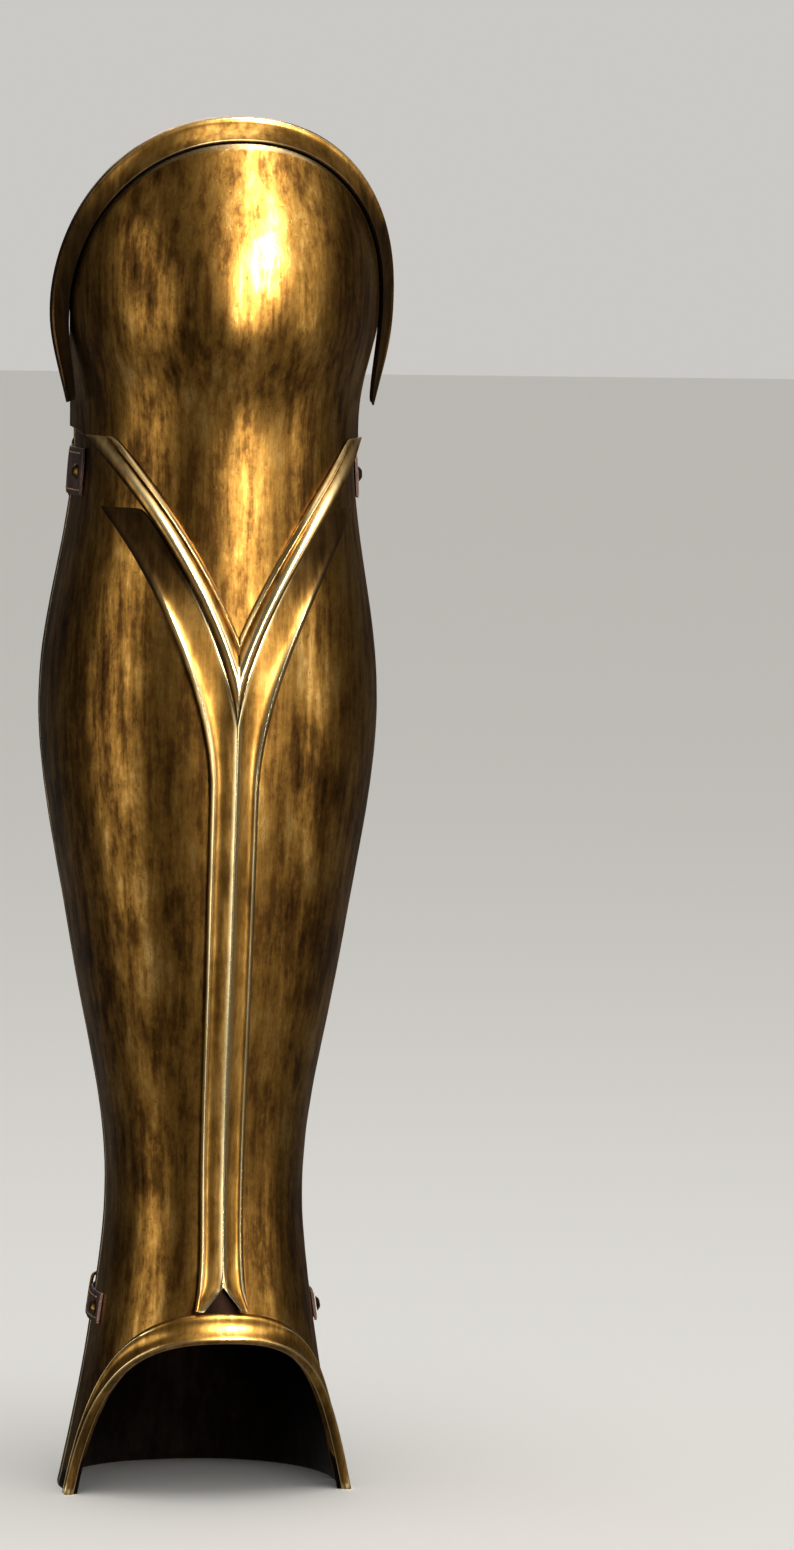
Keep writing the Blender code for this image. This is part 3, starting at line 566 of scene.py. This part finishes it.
def surfaceAt(piece, angle, height):
    outwards = Vector((math.sin(angle), -math.cos(angle), 0.0))
    start = Vector((legAxis.x, legAxis.y, height)) + stitch["castFrom"] * outwards
    hit, place, normal, _ = piece.ray_cast(start, -outwards)
    return (place, normal) if hit else None


stitch = {
    "length": 2.4 * mm, "width": 0.55 * mm, "pitch": 3.5 * mm, "inset": 1.9 * mm, "endAngle": 0.05,
    "sides": 8, "rounding": 0.16 * mm, "bow": 0.3, "lift": 0.05 * mm, "castFrom": 0.2, "keepAngle": 60.0,
}


def makeStitch():
    bpy.ops.object.select_all(action="DESELECT")
    bpy.ops.mesh.primitive_cylinder_add(
        vertices=stitch["sides"], radius=stitch["width"] / 2.0, depth=stitch["length"],
        rotation=(0.0, math.pi / 2.0, 0.0))
    model = bpy.context.active_object
    bpy.ops.object.transform_apply(location=True, rotation=True, scale=True)
    bpy.ops.object.mode_set(mode="EDIT")
    bpy.ops.mesh.select_all(action="SELECT")
    bpy.ops.mesh.bevel(offset=stitch["rounding"], segments=2)
    bpy.ops.object.mode_set(mode="OBJECT")
    for corner in model.data.vertices:
        fromMiddle = 2.0 * corner.co.x / stitch["length"]
        corner.co.z -= stitch["bow"] * stitch["width"] * fromMiddle * fromMiddle
    return model


def sewStrap(strap, name):
    low, high = strapBounds(strap)
    angles = sorted(polarAngle(corner.co) for corner in strap.data.vertices)
    first, last = angles[0], angles[-1]
    model = makeStitch()
    sewn = []
    for height in (low.z + stitch["inset"], high.z - stitch["inset"]):
        angle = first + stitch["endAngle"]
        while angle < last - stitch["endAngle"]:
            found = surfaceAt(strap, angle, height)
            if not found:
                break
            place, normal = found
            along = Vector((0.0, 0.0, 1.0)).cross(normal).normalized()
            up = normal.cross(along)
            turn = Matrix((along, up, normal)).transposed().to_4x4()
            copy = model.data.copy()
            copy.transform(Matrix.Translation(place + stitch["lift"] * normal) @ turn)
            sewn.append(bpy.data.objects.new(name, copy))
            angle += stitch["pitch"] / (place - legAxis).xy.length
    for one in sewn:
        bpy.context.scene.collection.objects.link(one)
    selectOnly(sewn[0])
    for one in sewn:
        one.select_set(True)
    bpy.ops.object.join()
    joined = bpy.context.active_object
    joined.name = name
    bpy.data.objects.remove(model)
    joined.data.materials.clear()
    joined.data.materials.append(linenThread)
    selectOnly(joined)
    bpy.ops.object.shade_smooth_by_angle(angle=math.radians(stitch["keepAngle"]))
    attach(joined, "root")


def strapBounds(strap):
    points = [corner.co for corner in strap.data.vertices]
    return (Vector([min(p[i] for p in points) for i in range(3)]),
            Vector([max(p[i] for p in points) for i in range(3)]))


for level in ("upper", "lower"):
    for side in ("left", "right"):
        ending = f"{level}_{side}"
        strap = fineCopy(f"strap_{ending}", strapForm, (darkLeather,))
        finishPiece(strap, "dark_leather", f"strap_{ending}")
        sewStrap(strap, f"stitches_{ending}")
        for nodeName in (f"buckle_{ending}", f"tongue_{ending}",
                         f"rivet_{ending}_front", f"rivet_{ending}_rear"):
            fitting = fineCopy(nodeName, wireForm, (fittingBrass,))
            finishPiece(fitting, "fitting_brass", nodeName)
print("straps made")


# Floor, light and camera
def plainMaterial(name, colour, roughness):
    material = bpy.data.materials.new(name)
    material.use_nodes = True
    shader = material.node_tree.nodes["Principled BSDF"]
    shader.inputs["Base Color"].default_value = linear(colour)
    shader.inputs["Roughness"].default_value = roughness
    return material


ground = {"size": 30.0, "colour": "#F2F1EE", "roughness": 0.9}
bpy.ops.object.select_all(action="DESELECT")
bpy.ops.mesh.primitive_plane_add(size=ground["size"])
floor = bpy.context.active_object
floor.name = "floor"
floor.data.materials.append(plainMaterial("matt_pale_floor", ground["colour"], ground["roughness"]))
floor.visible_glossy = False

# The camera sees an even pale sky; the metal mirrors a dim one, a little brighter from below
sky = {"colour": "#CBC9C5", "lowZ": -0.55, "highZ": -0.05, "lowStrength": 0.32, "highStrength": 0.08}
world = bpy.data.worlds.new("soft_studio")
bpy.context.scene.world = world
world.use_nodes = True
worldTree = world.node_tree
background = worldTree.nodes["Background"]
background.inputs["Color"].default_value = linear(sky["colour"])
rays = addNode(worldTree, "ShaderNodeLightPath")
skyward = addNode(worldTree, "ShaderNodeTexCoord")
skyHeight = addNode(worldTree, "ShaderNodeSeparateXYZ", {0: (skyward, "Generated")})
mirrored = addNode(worldTree, "ShaderNodeMapRange", {
    "Value": (skyHeight, "Z"), "From Min": sky["lowZ"], "From Max": sky["highZ"],
    "To Min": sky["lowStrength"], "To Max": sky["highStrength"],
})
strength = addNode(worldTree, "ShaderNodeMix", {
    "Factor": (rays, "Is Glossy Ray"), "A": 1.0, "B": (mirrored, "Result"),
}, data_type="FLOAT")
worldTree.links.new(strength.outputs[0], background.inputs["Strength"])

lights = (
    {"name": "key_strip", "azimuth": 20.0, "elevation": 25.0, "distance": 1.6,
     "size": (0.16, 0.58), "power": 72.0, "onFloor": False},
    {"name": "low_strip", "azimuth": 12.0, "elevation": 4.0, "distance": 1.6,
     "size": (0.14, 0.80), "power": 12.0, "onFloor": False},
    {"name": "left_soft", "azimuth": -70.0, "elevation": 4.0, "distance": 1.6,
     "size": (1.0, 1.3), "power": 7.5, "onFloor": False},
    {"name": "right_soft", "azimuth": 58.0, "elevation": 12.0, "distance": 1.6,
     "size": (0.5, 1.5), "power": 4.8, "onFloor": False},
    {"name": "rear_soft", "azimuth": 178.0, "elevation": 35.0, "distance": 1.8,
     "size": (1.0, 1.2), "power": 7.0, "onFloor": False},
    {"name": "top_soft", "azimuth": 5.0, "elevation": 78.0, "distance": 1.8,
     "size": (1.2, 1.2), "power": 14.0, "onFloor": True},
)


def directionFrom(azimuth, elevation):
    a, e = math.radians(azimuth), math.radians(elevation)
    return Vector((math.sin(a) * math.cos(e), -math.cos(a) * math.cos(e), math.sin(e)))


middle = Vector((0.0, 0.0, 0.5 * (cadBox[0].z + cadBox[1].z)))
allButFloor = bpy.data.collections.new("all_but_floor")  # for lamps that light the greave alone
allButFloor.objects.link(floor)
allButFloor.collection_objects[0].light_linking.link_state = "EXCLUDE"
for row in lights:
    lamp = bpy.data.lights.new(row["name"], "AREA")
    lamp.shape = "RECTANGLE"
    lamp.size, lamp.size_y = row["size"]
    lamp.energy = row["power"]
    lampObject = bpy.data.objects.new(row["name"], lamp)
    bpy.context.scene.collection.objects.link(lampObject)
    towards = directionFrom(row["azimuth"], row["elevation"])
    lampObject.location = middle + row["distance"] * towards
    lampObject.rotation_euler = towards.to_track_quat("Z", "Y").to_euler()
    lampObject.visible_camera = False
    if not row["onFloor"]:
        lampObject.light_linking.receiver_collection = allButFloor

photo = {
    "width": 794, "height": 1550, "pixelsPerMetre": 2740.0, "middleX": 208.0, "middleY": 804.0,
    "azimuth": -10.0, "elevation": 5.0, "distance": 2.6, "roll": 0.95, "sensor": 36.0,
}
camera = bpy.data.objects.new("camera", bpy.data.cameras.new("camera"))
bpy.context.scene.collection.objects.link(camera)
bpy.context.scene.camera = camera
camera.data.sensor_width = photo["sensor"]
camera.data.lens = photo["sensor"] * photo["distance"] * photo["pixelsPerMetre"] / photo["height"]
backwards = directionFrom(photo["azimuth"], photo["elevation"])
camera.location = middle + photo["distance"] * backwards
facing = backwards.to_track_quat("Z", "Y")
roll = math.radians(photo["roll"])
across = (photo["width"] / 2.0 - photo["middleX"]) / photo["pixelsPerMetre"]
rise = (photo["middleY"] - photo["height"] / 2.0) / photo["pixelsPerMetre"]
across, rise = (across * math.cos(roll) - rise * math.sin(roll),
                across * math.sin(roll) + rise * math.cos(roll))
aim = middle + facing @ Vector((across, rise, 0.0))
looking = (camera.location - aim).to_track_quat("Z", "Y")
camera.rotation_mode = "QUATERNION"
camera.rotation_quaternion = looking @ Matrix.Rotation(roll, 3, "Z").to_quaternion()
bpy.context.scene.view_settings.view_transform = "Standard"
print("stage made")
